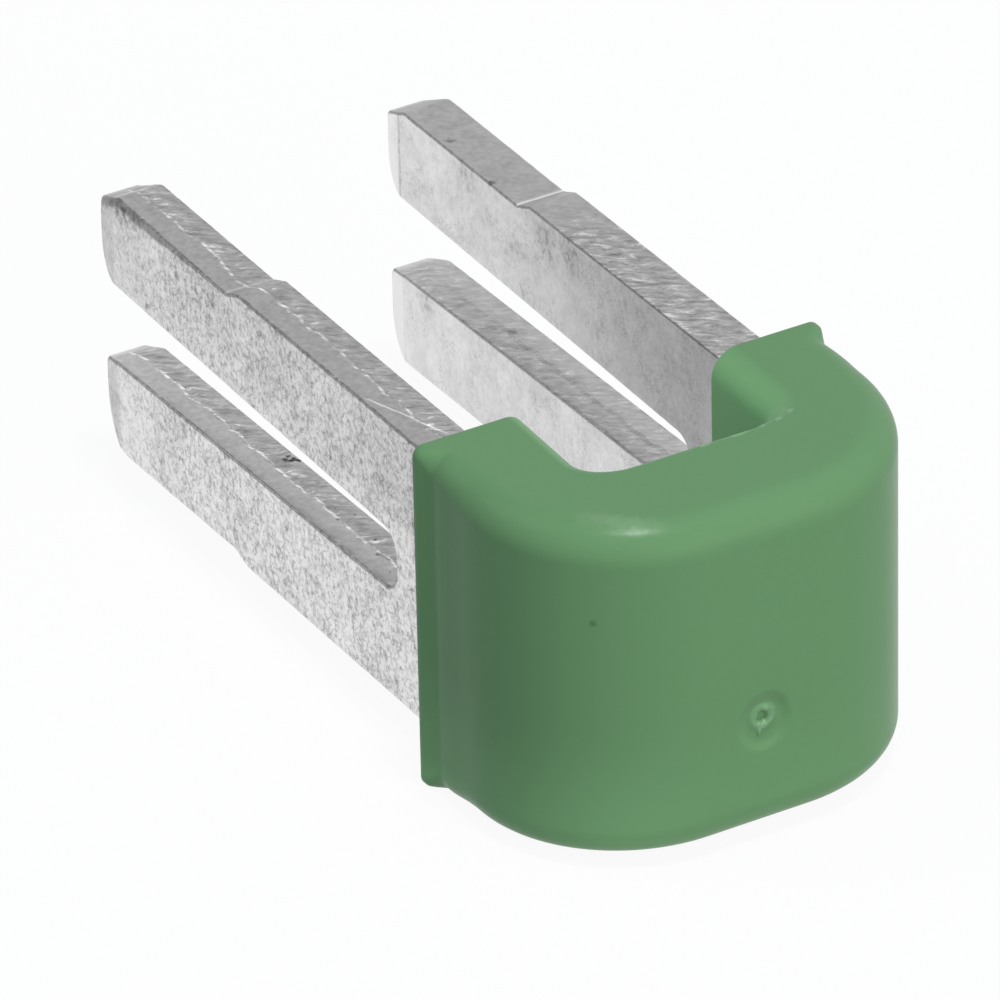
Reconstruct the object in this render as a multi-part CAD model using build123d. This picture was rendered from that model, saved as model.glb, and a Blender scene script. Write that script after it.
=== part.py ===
from build123d import *
import os

os.makedirs("parts", exist_ok=True)

# Terminal block jumper: a forked metal strip bent into a U, with a moulded cap pressed over the bend.
# Lengths are in millimetres. While the pieces are drawn, X runs across the two poles,
# Y runs from the cap's rear face towards the blade tips, and Z runs across the height of the forks.

# The terminal blocks that it joins
pitch = 6.0

# Strip: stock, bend and fork
strip_thickness = 1.0
bend_inner_radius = 1.0
blade_reach = 12.5
root_height = 5.57
tine_height = 5.22
upper_flare = 0.03
lower_flare = 0.09
ramp_start = 7.15
ramp_end = 7.62
ramp_radius = 0.2

# Slot between the two tines of a fork
slot_start = 1.68
slot_root_width = 1.22
slot_mouth_width = 1.65
slot_root_radius = 0.42

# Coined tips
face_bevel_length = 0.64
face_bevel_depth = 0.15
edge_bevel_length = 0.85
edge_bevel_depth = 0.38
inner_bevel_length = 0.7
inner_bevel_depth = 0.2
upper_slot_corner = 0.62
lower_slot_corner = 0.25
lower_outer_corner = 0.9
small_tip_corner = 0.2

# Cap: outer shape
cap_width = 8.12
cap_depth = 4.74
cap_height = 6.84
front_taper = 0.195
cap_corner_radius = 2.92
side_narrowing = 0.2
outer_edge_fillet = 0.6

# Cap: rim round the open rear
rim_width = 8.22
rim_land = 0.12
rim_length = 0.52
rim_neck_width = 7.88
rim_corner_radius = 0.2
neck_corner_radius = 0.5

# Cap: recess between the legs
recess_width = 3.8
recess_depth = 2.4
recess_corner_radius = 0.7
recess_edge_fillet = 0.38

# Cap: pocket for the strip
pocket_clearance = 0.05

# Cap: gate mark on the front face
gate_offset = 1.0
gate_dimple_width = 1.0
gate_dimple_depth = 0.09
gate_stub_width = 0.54
gate_stub_height = 0.05
gate_hole_width = 0.2

# Places that follow from the sizes above
outer_face = pitch / 2 + strip_thickness / 2
inner_face = pitch / 2 - strip_thickness / 2
bend_outer_radius = bend_inner_radius + strip_thickness
front_height = cap_height - 2 * front_taper
front_wall = (cap_depth - recess_depth - strip_thickness) / 2
web_front = -(cap_depth - front_wall)
web_back = web_front + strip_thickness
bevel_start = blade_reach - face_bevel_length
edge_bevel_start = blade_reach - edge_bevel_length
inner_bevel_start = blade_reach - inner_bevel_length
base_shift_y = -(blade_reach - cap_depth) / 2
base_shift_z = cap_height / 2

# The finished part stands on the cap's underside, with its origin at the middle of that footprint.
to_part_frame = Pos(0, base_shift_y, base_shift_z)


# Strip, seen from above: two legs joined by a web, with the flat faces bevelled at the tips.
strip_plan_points = [
    (-outer_face + face_bevel_depth, blade_reach),
    (-outer_face, bevel_start),
    (-outer_face, web_front),
    (outer_face, web_front),
    (outer_face, bevel_start),
    (outer_face - face_bevel_depth, blade_reach),
    (inner_face + face_bevel_depth, blade_reach),
    (inner_face, bevel_start),
    (inner_face, web_back),
    (-inner_face, web_back),
    (-inner_face, bevel_start),
    (-inner_face - face_bevel_depth, blade_reach),
]
strip_plan = make_face(Polyline(*strip_plan_points, close=True))
bend_outside = strip_plan.vertices().filter_by(lambda v: abs(v.Y - web_front) < 0.001)
strip_plan = fillet(bend_outside, bend_outer_radius)
bend_inside = strip_plan.vertices().filter_by(
    lambda v: abs(v.Y - web_back) < 0.001 and abs(abs(v.X) - inner_face) < 0.001
)
strip_plan = fillet(bend_inside, bend_inner_radius)
strip_band = extrude(strip_plan, amount=root_height / 2, both=True)

# Fork, seen from the side: the outer edges step in half way along, and the slot widens towards the tips.
root_half = root_height / 2
tine_half = tine_height / 2
upper_edge = tine_half + upper_flare
lower_edge = tine_half + lower_flare
slot_root_half = slot_root_width / 2
slot_mouth_half = slot_mouth_width / 2
fork_points = [
    (web_front - 1, root_half, 0),
    (ramp_start, root_half, ramp_radius),
    (ramp_end, tine_half, ramp_radius),
    (edge_bevel_start, upper_edge, small_tip_corner),
    (blade_reach, upper_edge - edge_bevel_depth, small_tip_corner),
    (blade_reach, slot_mouth_half, upper_slot_corner),
    (slot_start, slot_root_half, slot_root_radius),
    (slot_start, -slot_root_half, slot_root_radius),
    (inner_bevel_start, -slot_mouth_half, inner_bevel_length / 3),
    (blade_reach, -slot_mouth_half - inner_bevel_depth, lower_slot_corner),
    (blade_reach, -lower_edge, lower_outer_corner),
    (ramp_end, -tine_half, ramp_radius),
    (ramp_start, -root_half, ramp_radius),
    (web_front - 1, -root_half, 0),
]
fork_outline = make_face(Polyline(*[(y, z) for y, z, radius in fork_points], close=True))
for y, z, radius in fork_points:
    if radius > 0:
        corner = fork_outline.vertices().sort_by_distance((y, z, 0))[0]
        fork_outline = fillet(corner, radius)
fork_prism = extrude(Plane.YZ * fork_outline, amount=pitch, both=True)
contact_bridge = strip_band & fork_prism

# Cap, outer shape: bowed sides, large front corners, and a top and bottom that draw in towards the front.
half_width = cap_width / 2
corner_start = -(cap_depth - cap_corner_radius)
rear_half = half_width - side_narrowing
front_half = half_width - cap_corner_radius
right_side = TangentArc((half_width, corner_start), (rear_half, 0), tangent=(0, 1))
right_corner = TangentArc((half_width, corner_start), (front_half, -cap_depth), tangent=(0, -1))
left_side = TangentArc((-half_width, corner_start), (-rear_half, 0), tangent=(0, 1))
left_corner = TangentArc((-half_width, corner_start), (-front_half, -cap_depth), tangent=(0, -1))
front_line = Line((front_half, -cap_depth), (-front_half, -cap_depth))
rear_line = Line((-rear_half, 0), (rear_half, 0))
cap_plan = make_face([right_side, right_corner, front_line, left_corner, left_side, rear_line])
cap_block = extrude(cap_plan, amount=cap_height / 2, both=True)

taper_points = [
    (0, cap_height / 2),
    (-cap_depth, front_height / 2),
    (-cap_depth - 1, front_height / 2),
    (-cap_depth - 1, cap_height / 2 + 1),
    (0, cap_height / 2 + 1),
]
taper_outline = make_face(Polyline(*taper_points, close=True))
top_taper = extrude(Plane.YZ * taper_outline, amount=cap_width, both=True)
bottom_taper = mirror(top_taper, about=Plane.XY)
cap_block = cap_block - top_taper - bottom_taper
cap_faces = cap_block.faces().sort_by(Axis.Z)
outline_edges = cap_faces[0].edges() + cap_faces[-1].edges()
outline_edges = [e for e in outline_edges if abs(e.center().Y) > 0.001]
cap_block = fillet(outline_edges, outer_edge_fillet)

# Cap, rear rim: a thin land with nearly square corners that draws in to the neck in front of it.
rear_plane = Plane((0, 0, 0), x_dir=(1, 0, 0), z_dir=(0, -1, 0))
rim_outline = RectangleRounded(rim_width, cap_height, rim_corner_radius)
neck_outline = RectangleRounded(rim_neck_width, cap_height - 0.02, neck_corner_radius)
rim_land_solid = extrude(rear_plane * rim_outline, amount=rim_land)
rim_start = rear_plane.offset(rim_land) * rim_outline
rim_finish = rear_plane.offset(rim_length) * neck_outline
rim_slope = loft([rim_start.face(), rim_finish.face()])
rim = (rim_land_solid + rim_slope) - top_taper - bottom_taper
cap_body = cap_block + rim

# Cap, recess between the legs, open to the rear, top and bottom
recess_points = [
    (-recess_width / 2, 1),
    (-recess_width / 2, -recess_depth),
    (recess_width / 2, -recess_depth),
    (recess_width / 2, 1),
]
recess_plan = make_face(Polyline(*recess_points, close=True))
recess_corners = recess_plan.vertices().filter_by(lambda v: v.Y < 0)
recess_plan = fillet(recess_corners, recess_corner_radius)
cap_body = cap_body - extrude(recess_plan, amount=cap_height, both=True)
recess_edges = []
for edge in cap_body.edges():
    middle = edge.center()
    inside = abs(middle.X) < recess_width / 2 + 0.01 and -recess_depth - 0.01 < middle.Y < -0.01
    if inside and abs(middle.Z) > front_height / 2 - 0.01:
        recess_edges.append(edge)
cap_body = fillet(recess_edges, recess_edge_fillet)

# Cap, pocket for the strip: it follows the strip with clearance, and its floor is where the web seats.
pocket_outer = outer_face + pocket_clearance
pocket_inner = inner_face - pocket_clearance
pocket_back = web_back + pocket_clearance
pocket_points = [
    (-pocket_outer, 1),
    (-pocket_outer, web_front),
    (pocket_outer, web_front),
    (pocket_outer, 1),
    (pocket_inner, 1),
    (pocket_inner, pocket_back),
    (-pocket_inner, pocket_back),
    (-pocket_inner, 1),
]
pocket_plan = make_face(Polyline(*pocket_points, close=True))
pocket_outside = pocket_plan.vertices().filter_by(lambda v: abs(v.Y - web_front) < 0.001)
pocket_plan = fillet(pocket_outside, bend_outer_radius)
pocket_inside = pocket_plan.vertices().filter_by(
    lambda v: abs(v.Y - pocket_back) < 0.001 and abs(abs(v.X) - pocket_inner) < 0.001
)
pocket_plan = fillet(pocket_inside, bend_inner_radius)
pocket = extrude(pocket_plan, amount=root_half + pocket_clearance, both=True)
cap_body = cap_body - pocket

# Cap, gate mark: a shallow dimple with the broken-off stub of the runner standing in it, below the face.
gate_plane = Plane((0, -cap_depth, -gate_offset), x_dir=(1, 0, 0), z_dir=(0, -1, 0))
dimple_radius = (gate_dimple_width ** 2 / 4 + gate_dimple_depth ** 2) / (2 * gate_dimple_depth)
dimple = gate_plane * Pos(0, 0, dimple_radius - gate_dimple_depth) * Sphere(dimple_radius)
stub_base = 0.05
stub_height = gate_stub_height + stub_base
stub = Cylinder(gate_stub_width / 2, stub_height, align=(Align.CENTER, Align.CENTER, Align.MIN))
stub_hole = Cylinder(gate_hole_width / 2, stub_height, align=(Align.CENTER, Align.CENTER, Align.MIN))
stub_ring = gate_plane * Pos(0, 0, -gate_dimple_depth - stub_base) * stub
stub_ring_hole = gate_plane * Pos(0, 0, -gate_dimple_depth) * stub_hole
insulating_cap = cap_body - dimple + stub_ring - stub_ring_hole

pieces = {"contact_bridge": contact_bridge, "insulating_cap": insulating_cap}
for name, piece in pieces.items():
    placed = to_part_frame * piece
    solids = placed.solids()
    print(name, "solids", len(solids), "volume", round(sum(s.volume for s in solids), 3), "box", placed.bounding_box())
    export_step(solids[0], f"parts/{name}.step")
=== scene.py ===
# %% [markdown]
# # A terminal block jumper
# The real object is two pieces. A strip of tinned copper is stamped flat as a blank with two forked
# ends, its tips are coined, and it is bent into a U. A green cap is moulded separately and pressed
# over the bend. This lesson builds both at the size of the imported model, gives them their finishes,
# and sets them on a pale floor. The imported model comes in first, because it says where everything is.

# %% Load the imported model
import math
from collections import namedtuple

import bpy
import numpy as np
from mathutils import Matrix, Vector, noise
from mathutils.geometry import delaunay_2d_cdt
from mathutils.kdtree import KDTree


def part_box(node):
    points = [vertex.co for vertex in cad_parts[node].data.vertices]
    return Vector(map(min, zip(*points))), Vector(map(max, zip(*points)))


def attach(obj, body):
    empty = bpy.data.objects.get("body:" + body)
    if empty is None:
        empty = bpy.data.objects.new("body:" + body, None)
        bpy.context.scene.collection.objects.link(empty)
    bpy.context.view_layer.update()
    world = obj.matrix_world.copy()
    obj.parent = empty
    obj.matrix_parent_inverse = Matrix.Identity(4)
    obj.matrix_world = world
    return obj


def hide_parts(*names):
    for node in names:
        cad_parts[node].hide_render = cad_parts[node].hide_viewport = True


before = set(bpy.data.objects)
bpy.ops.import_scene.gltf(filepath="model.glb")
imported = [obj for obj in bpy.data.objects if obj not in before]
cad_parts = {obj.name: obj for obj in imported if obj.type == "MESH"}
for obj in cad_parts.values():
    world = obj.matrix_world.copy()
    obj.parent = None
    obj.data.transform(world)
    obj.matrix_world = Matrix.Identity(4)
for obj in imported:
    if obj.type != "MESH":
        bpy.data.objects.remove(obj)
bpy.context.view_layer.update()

strip_low, strip_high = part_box("contact_bridge")
cap_low, cap_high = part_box("insulating_cap")
print("nodes", sorted(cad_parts))
print("strip box mm", [round(v * 1000, 3) for v in (*strip_low, *strip_high)])
print("cap box mm", [round(v * 1000, 3) for v in (*cap_low, *cap_high)])

# %% [markdown]
# The two pieces are drawn in millimetres, with Y = 0 at the cap's rear face, Y growing towards the
# tips, and Z = 0 at mid height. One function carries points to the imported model's place, in metres.
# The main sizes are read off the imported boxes, so the pieces follow the model if it changes.

# %% Sizes in millimetres
MM = 0.001
tip_allowance = 0.002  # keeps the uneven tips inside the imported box
rear_y = cap_high.y / MM
middle_z = (cap_low.z + cap_high.z) / 2 / MM
outer_face = strip_high.x / MM
reach = strip_high.y / MM - rear_y - tip_allowance
web_front = strip_low.y / MM - rear_y
root_half = (strip_high.z - strip_low.z) / 2 / MM
thickness = 1.0
half_thick = thickness / 2
bend_middle = 1.5
half_web = outer_face - thickness - (bend_middle - half_thick)
bend_centre = web_front + bend_middle + half_thick
bend_length = bend_middle * math.pi / 2
coined_length = 0.64
cap_depth = (cap_high.y - cap_low.y) / MM
cap_half = (cap_high.z - cap_low.z) / 2 / MM


def to_frame(points):
    """Points in drawing millimetres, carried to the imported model's place in metres."""
    moved = np.asarray(points, float) + np.array([0.0, rear_y, middle_z])
    return moved * MM


def in_scene(name, data):
    """A new object, linked to the scene."""
    made = bpy.data.objects.new(name, data)
    bpy.context.collection.objects.link(made)
    return made


print("reach", round(reach, 3), "web front", round(web_front, 3), "bend centre", round(bend_centre, 3))

# %% [markdown]
# The blank is cut out of sheet, so its shape is one closed outline. It is written as corners, each
# with a radius, and a helper walks round them and lays points at an even step. The position along
# the blank is the distance from the middle of the web, measured along the middle of the metal.

# %% The outline of the flat blank
ramp_start, ramp_end, ramp_radius = 7.15, 7.60, 0.13
upper_edge, lower_edge = (2.61, 2.645), (2.62, 2.705)
slot_start, slot_half, slot_corner = 1.72, 0.585, 0.42
slot_limit = 1.25  # heights below this belong to the slot
outline_step = 0.055


def fork_corners(lower_corner):
    """Corners of one fork from its upper root to its lower root: distance from the cap, height, radius."""
    return [
        (ramp_start, root_half, ramp_radius),
        (ramp_end, upper_edge[0], 0.05),
        (reach - 0.85, upper_edge[1], 0.2),
        (reach, upper_edge[1] - 0.38, 0.2),
        (reach, 0.8, 0.62),
        (slot_start, slot_half, slot_corner),
        (slot_start, -slot_half, slot_corner),
        (reach - 0.7, -0.81, 0.23),
        (reach, -1.02, 0.25),
        (reach, -lower_edge[1], lower_corner),
        (ramp_end, -lower_edge[0], ramp_radius),
        (ramp_start, -root_half, ramp_radius),
    ]


def along_blank(y):
    """Where a point of the straight leg lies along the unbent strip."""
    return half_web + bend_length + (y - bend_centre)


def rounded_path(corners, step):
    """A closed outline with every corner rounded to its radius, as evenly spaced points."""
    count = len(corners)
    pts = [np.array(c[:2], float) for c in corners]
    pieces = []
    for i, corner in enumerate(corners):
        here, before, after = pts[i], pts[i - 1], pts[(i + 1) % count]
        into, out = here - before, after - here
        into, out = into / np.linalg.norm(into), out / np.linalg.norm(out)
        turn = math.atan2(into[0] * out[1] - into[1] * out[0], into @ out)
        radius = corner[2]
        back = radius * math.tan(abs(turn) / 2)
        side = np.array([-into[1], into[0]]) * math.copysign(1, turn)
        centre = here - into * back + side * radius
        parts = max(2, math.ceil(abs(turn) * radius / step))
        arc = []
        for k in range(parts + 1):
            a = turn * k / parts
            arm = -side * radius
            arc.append(centre + np.array([arm[0] * math.cos(a) - arm[1] * math.sin(a),
                                          arm[0] * math.sin(a) + arm[1] * math.cos(a)]))
        pieces.append(arc)
    path = []
    for i, arc in enumerate(pieces):
        path.extend(arc)
        start, end = arc[-1], pieces[(i + 1) % count][0]
        parts = max(1, round(np.linalg.norm(end - start) / step))
        path.extend(start + (end - start) * k / parts for k in range(1, parts))
    return np.array(path)


right_fork = [(along_blank(y), z, r) for y, z, r in fork_corners(0.78)]
left_fork = [(-along_blank(y), z * 1.006, r) for y, z, r in fork_corners(1.0)]
outline = rounded_path(list(reversed(right_fork)) + left_fork, outline_step)
ahead = np.roll(outline, -1, axis=0) - np.roll(outline, 1, axis=0)
ahead = ahead / np.linalg.norm(ahead, axis=1)[:, None]
inward = np.stack([-ahead[:, 1], ahead[:, 0]], axis=1)
steps = np.linalg.norm(np.roll(outline, -1, axis=0) - outline, axis=1)
walked = np.concatenate([[0.0], np.cumsum(steps)[:-1]])
print("outline points", len(outline), "length mm", round(float(steps.sum()), 1))

# %% [markdown]
# A punch leaves a particular edge. The sheet rolls over where the punch enters, then comes a smooth
# burnished band where metal slid past the tool, and then a torn, streaked half, with a line of small
# lips between the two, which catch the light. Each point of the outline gets a row of points across the
# thickness: how far the point is from the middle of the metal, and how far it stands back from the outline.
# The two forks did not tear alike, so every point of the outline also says how torn it is.

# %% The cut edge across the thickness
face_inset = 0.062
ROLL, BURNISH, LIP, TORN, BURR = 0, 1, 2, 3, 4
edge_rows = [
    (0.4993, 0.040, ROLL), (0.496, 0.024, ROLL), (0.487, 0.010, ROLL), (0.473, 0.003, ROLL),
    (0.462, 0.0, ROLL), (0.450, 0.0, BURNISH), (0.340, 0.0, BURNISH), (0.230, 0.0, BURNISH),
    (0.120, 0.0, BURNISH), (0.054, -0.001, BURNISH), (0.034, -0.007, LIP), (-0.014, -0.002, LIP),
    (-0.036, 0.014, TORN), (-0.100, 0.013, TORN), (-0.165, 0.010, TORN), (-0.230, 0.009, TORN),
    (-0.295, 0.010, TORN), (-0.360, 0.010, TORN), (-0.420, 0.010, TORN), (-0.465, 0.010, TORN),
    (-0.484, 0.014, BURR), (-0.495, 0.024, BURR), (-0.500, 0.040, BURR),
]
band_start, band_end = 0.450, 0.054


def smooth(a, b, x):
    """Goes softly from 0 to 1 as x goes from a to b."""
    t = min(1.0, max(0.0, (x - a) / (b - a)))
    return t * t * (3 - 2 * t)


def wobble(x, y, z):
    """Smooth noise about 0, the same on every run."""
    return noise.noise(Vector((x, y, z)))


def roll_scale(place):
    """The roll is broader on the top of the left upper tine, and most of all at its tip."""
    y = -place[0] - along_blank(0.0)
    return 1.0 + 1.5 * smooth(ramp_end, reach - 1.2, y) * smooth(1.9, 2.2, place[1])


def strand_slope(place):
    """The torn strands cross the edge aslant, a little more so on the outer edges than in the slot."""
    return 0.52 if abs(place[1]) < slot_limit else 0.65


def tearing(place):
    """How torn a place of the outline is: the far half, the near half, and the line of lips."""
    y = abs(place[0]) - along_blank(0.0)
    blunt = smooth(reach - 0.10, reach - 0.45, y)
    if place[0] < 0:
        return blunt, 0.0, blunt
    if abs(place[1]) < slot_limit:
        return 0.6 * blunt, 0.4 * blunt, 0.0
    if place[1] < 0:
        return blunt, 0.0, 0.6 * blunt
    root = smooth(ramp_start - 0.1, 5.2, y)
    return 0.06 + 0.94 * root, 0.05 + 0.75 * root, 0.0


def teeth(run):
    """The lips lie like shingles: each starts a little nearer than the last one ended."""
    count = run / 0.26 + wobble(run * 1.7, 2.2, 8.8) * 1.1
    return count - math.floor(count) - 0.5


scales = np.array([roll_scale(p) for p in outline])
slopes = np.array([strand_slope(p) for p in outline])
tears = np.array([tearing(p) for p in outline])
tooth = np.array([teeth(run) for run in walked])


def coined(along):
    """Share of the thickness that is left near the tips, where both flat faces were pressed in."""
    y = np.abs(along) - along_blank(0.0)
    return 1.0 - 0.3 * np.clip((y - (reach - coined_length)) / coined_length, 0.0, 1.0)


def follows(kind, level):
    """How far a row goes with the wandering border between the smooth band and the torn half."""
    if kind == BURNISH:
        return max(0.0, 1.0 - level / 0.34)
    if kind == TORN:
        return 1.0 + level / 0.475
    return 1.0 if kind == LIP else 0.0


def edge_points(row):
    """The points of one row: place along the blank, distance outwards from mid thickness, height."""
    level, back, kind = edge_rows[row]
    points = np.zeros((len(outline), 3))
    for i, (place, facing, run) in enumerate(zip(outline, inward, walked)):
        far, near, lip = tears[i]
        wave = wobble(run * 0.6, 3.1, 0.0) * 0.085 + wobble(run * 3.1, 9.7, 0.0) * 0.075
        wave += 0.035 * tooth[i] * lip
        n = level + wave * follows(kind, level)
        depth = back * {ROLL: 1.0, BURR: 1.0, LIP: lip}.get(kind, far)
        if kind == ROLL:
            n, depth = half_thick - (half_thick - level) * scales[i], back * scales[i]
            depth = max(0.0, depth + wobble(run * 5.0, level * 9.0, 1.3) * 0.006 * scales[i])
        if kind == BURNISH:
            # A broader roll leaves less room for the band, so its rows move closer together.
            start = half_thick - (half_thick - band_start) * scales[i]
            n = band_end + (n - band_end) * (start - band_end) / (band_start - band_end)
        torn = far if kind in (TORN, BURR, LIP) else near
        if kind != ROLL and torn > 0:
            strand = run - slopes[i] * level + wobble(run * 2.2, level * 3.0, 6.1) * 0.10
            streak = wobble(strand * 7.5, level * (2.2 if place[0] < 0 else 3.5), 4.0)
            swell = wobble(run * 1.9, level * 1.5, 7.5)
            flake = max(0.0, wobble(strand * 4.4, level * 4.0, 2.7) - 0.15)
            rough = 0.006 + streak * 0.014 + swell * 0.009 + flake * 0.03
            depth += rough * torn * (0.3 if kind == BURR else 1.0)
        points[i] = (place[0] + facing[0] * depth, n, place[1] + facing[1] * depth)
    points[:, 1] *= coined(points[:, 0])
    return points


edge_sheets = [edge_points(row) for row in range(len(edge_rows))]
print("rows across the edge", len(edge_sheets))

# %% [markdown]
# The two flat faces are filled with points on an even triangular grid and joined by a Delaunay
# triangulation, which keeps to the outline and leaves no long slivers. An extra line of points
# runs where the coined tip starts, so that the crease stays crisp.

# %% The flat faces of the blank
ring = outline + inward * (face_inset * scales)[:, None]
tree = KDTree(len(ring))
for i, p in enumerate(ring):
    tree.insert((p[0], p[1], 0.0), i)
tree.balance()


def inside_ring(p, margin):
    """Whether a point lies on the metal, at least that far from the ring of edge points."""
    co, index, distance = tree.find((p[0], p[1], 0.0))
    away = np.array([p[0] - co[0], p[1] - co[1]])
    return distance > margin and away @ inward[index] > 0


def face_grid():
    """Points inside the ring: fine where the strip shows, coarser where the cap hides it."""
    fine, span, points = 0.13, along_blank(reach), []
    crease = [along_blank(reach - coined_length - gap) for gap in (0.015, -0.015)]
    rows = int(2 * root_half / (fine * 0.866)) + 2
    for r in range(rows):
        z = -root_half + r * fine * 0.866
        for c in range(int(2 * span / fine) + 2):
            s = -span + (c + 0.5 * (r % 2)) * fine
            skipped = abs(s) < along_blank(-0.8) and (r % 2 or c % 2)
            near_crease = min(abs(abs(s) - x) for x in crease) < 0.07
            if not skipped and not near_crease and inside_ring((s, z), 0.07):
                points.append((s, z))
    for x in crease:
        for r in range(int(2 * root_half / 0.1)):
            here = [(s, -root_half + r * 0.1) for s in (-x, x)]
            points += [p for p in here if inside_ring(p, 0.05)]
    return points


grid = face_grid()
flat = [Vector(p) for p in ring] + [Vector(p) for p in grid]
count = len(ring)
filled = delaunay_2d_cdt(flat, [], [list(range(count))], 0, 1e-6, True)
face_points = np.array([[v.x, v.y] for v in filled[0]])
all_triangles = np.array([tuple(f) for f in filled[2]])


def on_metal(points):
    """Which points lie inside the ring: a line from them crosses it an odd number of times."""
    a, b = ring, np.roll(ring, -1, axis=0)
    hits = np.zeros(len(points), int)
    for (ax, az), (bx, bz) in zip(a, b):
        spans = (points[:, 1] > az) != (points[:, 1] > bz)
        if az != bz:
            hits += spans & (points[:, 0] < ax + (points[:, 1] - az) * (bx - ax) / (bz - az))
    return hits % 2 == 1


kept = on_metal(face_points[all_triangles].mean(axis=1))
face_triangles = [tuple(int(i) for i in f) for f in all_triangles[kept]]
print("face points", len(face_points), "triangles", len(face_triangles))

# %% [markdown]
# Faces and edge rows are stitched into one closed skin. Each point also carries what it is: how much
# it belongs to the cut edge, to the rolled corner, to the torn half or to the ragged line, how far
# along the outline it lies and how far across. The metal's finish reads these values later.

# %% Stitch the blank
def skin_values(size, first_inner):
    """What every point of the skin says about itself, for the metal's finish to read."""
    names = ("cut", "roll", "torn", "lip", "strand", "across", "painted_foot_glint")
    values = {name: np.zeros(size, np.float32) for name in names}
    on_left = outline[:, 0] < 0
    facing_up = np.clip(0.6 - inward[:, 1], 0.2, 1.0)
    far, near = tears[:, 0], tears[:, 1]
    # The foot value marks the foot of the ramp, which the metal's finish paints lighter as a painted
    # highlight.
    ramp_foot = [math.hypot(abs(p[0]) - along_blank(ramp_end), p[1] - upper_edge[0]) for p in outline]
    painted_foot_glint = np.array([smooth(0.075, 0.03, distance) for distance in ramp_foot])
    first_edge = 2 * first_inner
    for start, level in ((0, half_thick), (first_inner, -half_thick)):
        values["strand"][start:start + count] = walked - slopes * level
    # The roll value sets how strong the painted shade along the rolled corner is, strongest where the edge
    # faces up.
    values["roll"][:count] = facing_up * np.where(on_left, 0.30 + 0.14 * (scales - 1.0), 0.1)
    for r, (level, _, kind) in enumerate(edge_rows):
        span = slice(first_edge + r * count, first_edge + (r + 1) * count)
        below_face = {ROLL: half_thick - level, BURR: half_thick + level}.get(kind, half_thick)
        values["cut"][span] = min(1.0, below_face / 0.015)
        strength = np.where(on_left, 1.0, 0.25) if kind == ROLL else np.where(on_left, 0.25, 0.9)
        share = {ROLL: min(1.0, (level - band_start) / 0.04), BURR: 1.0}.get(kind, 0.0)
        values["roll"][span] = facing_up * strength * share
        values["torn"][span] = {TORN: far, BURR: far, BURNISH: near}.get(kind, (far + near) / 2)
        values["lip"][span] = tears[:, 2] * (1.0 - 1.6 * np.abs(tooth)) if kind == LIP else 0.0
        values["strand"][span] = walked - slopes * level
        values["painted_foot_glint"][span] = painted_foot_glint
    return values


def blank_mesh():
    thick = half_thick * coined(face_points[:, 0])
    outer = np.column_stack([face_points[:, 0], thick, face_points[:, 1]])
    inner = outer * np.array([1.0, -1.0, 1.0])
    points = np.concatenate([outer, inner] + edge_sheets)
    first_inner, first_edge = len(outer), 2 * len(outer)
    rows = [first_edge + r * count + np.arange(count) for r in range(len(edge_sheets))]
    rows = [np.arange(count)] + rows + [first_inner + np.arange(count)]
    faces = list(face_triangles) + [tuple(first_inner + i for i in reversed(f)) for f in face_triangles]
    for upper, lower in zip(rows, rows[1:]):
        for a, b, c, d in zip(upper, lower, np.roll(lower, -1), np.roll(upper, -1)):
            faces.append((int(a), int(b), int(c), int(d)))
    values = skin_values(len(points), first_inner)
    values["across"][:] = points[:, 1]
    values["across"][:first_inner] = half_thick
    # In the flat blank X runs along the strip, and its outer face looks to -Y, as the web's does.
    points = points * np.array([1.0, -1.0, 1.0])
    mesh = bpy.data.meshes.new("strip_blank")
    mesh.from_pydata(points.tolist(), [], faces)
    for name, data in values.items():
        mesh.attributes.new(name, "FLOAT", "POINT").data.foreach_set("value", data)
    return mesh


blank = in_scene("contact_strip", blank_mesh())
print("blank vertices", len(blank.data.vertices), "faces", len(blank.data.polygons))

# %% [markdown]
# Nodes are wired by hand in Blender, but in a script that soon becomes hard to read. One small class
# stands for a socket and turns ordinary arithmetic into Math nodes, so a rule can be written as a
# formula. It serves the Geometry Nodes tree that bends the strip and the materials further down.

# %% Sockets that can be added and multiplied
class Socket:
    """An output of a node. Arithmetic on it adds Math nodes to the same tree."""

    def __init__(self, tree, link):
        self.tree, self.link = tree, link

    def maths(self, operation, *others, clamp=False):
        node = self.tree.nodes.new("ShaderNodeMath")
        node.operation, node.use_clamp = operation, clamp
        for slot, value in zip(node.inputs, (self, *others)):
            plug(self.tree, slot, value)
        return Socket(self.tree, node.outputs[0])

    def __add__(self, other): return self.maths("ADD", other)
    def __sub__(self, other): return self.maths("SUBTRACT", other)
    def __mul__(self, other): return self.maths("MULTIPLY", other)
    def __truediv__(self, other): return self.maths("DIVIDE", other)
    def __rsub__(self, other): return self.maths("MULTIPLY", -1.0) + other
    __radd__, __rmul__ = __add__, __mul__

    def clamped(self): return self.maths("ADD", 0.0, clamp=True)


def plug(tree, slot, value):
    """Links a socket, or writes a plain value into the slot."""
    if isinstance(value, Socket):
        tree.links.new(value.link, slot)
    elif value is not None:
        slot.default_value = value


class Wiring:
    """A node tree, with one method that adds any node: its type, its inputs and its settings."""

    def __init__(self, tree):
        self.tree = tree

    def node(self, kind, inputs=None, settings=None, out=0):
        made = self.tree.nodes.new(kind)
        for name, value in (settings or {}).items():
            setattr(made, name, value)
        for name, value in (inputs or {}).items():
            plug(self.tree, made.inputs[name], value)
        return Socket(self.tree, made.outputs[out])


print("socket arithmetic ready")

# %% [markdown]
# A press bends the blank round a tool of fixed radius: the web stays flat, the next stretch wraps
# round a quarter circle, and what is left becomes a straight leg. That is a rule on position alone,
# so Geometry Nodes can do it with Set Position. The distance along the blank is split into the part
# on the web, the part on the bend, which becomes an angle, and the part on the leg.

# %% Bend the blank with Geometry Nodes
bend_sizes = {"Half web": half_web, "Middle radius": bend_middle, "Bend centre": bend_centre}


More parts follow.
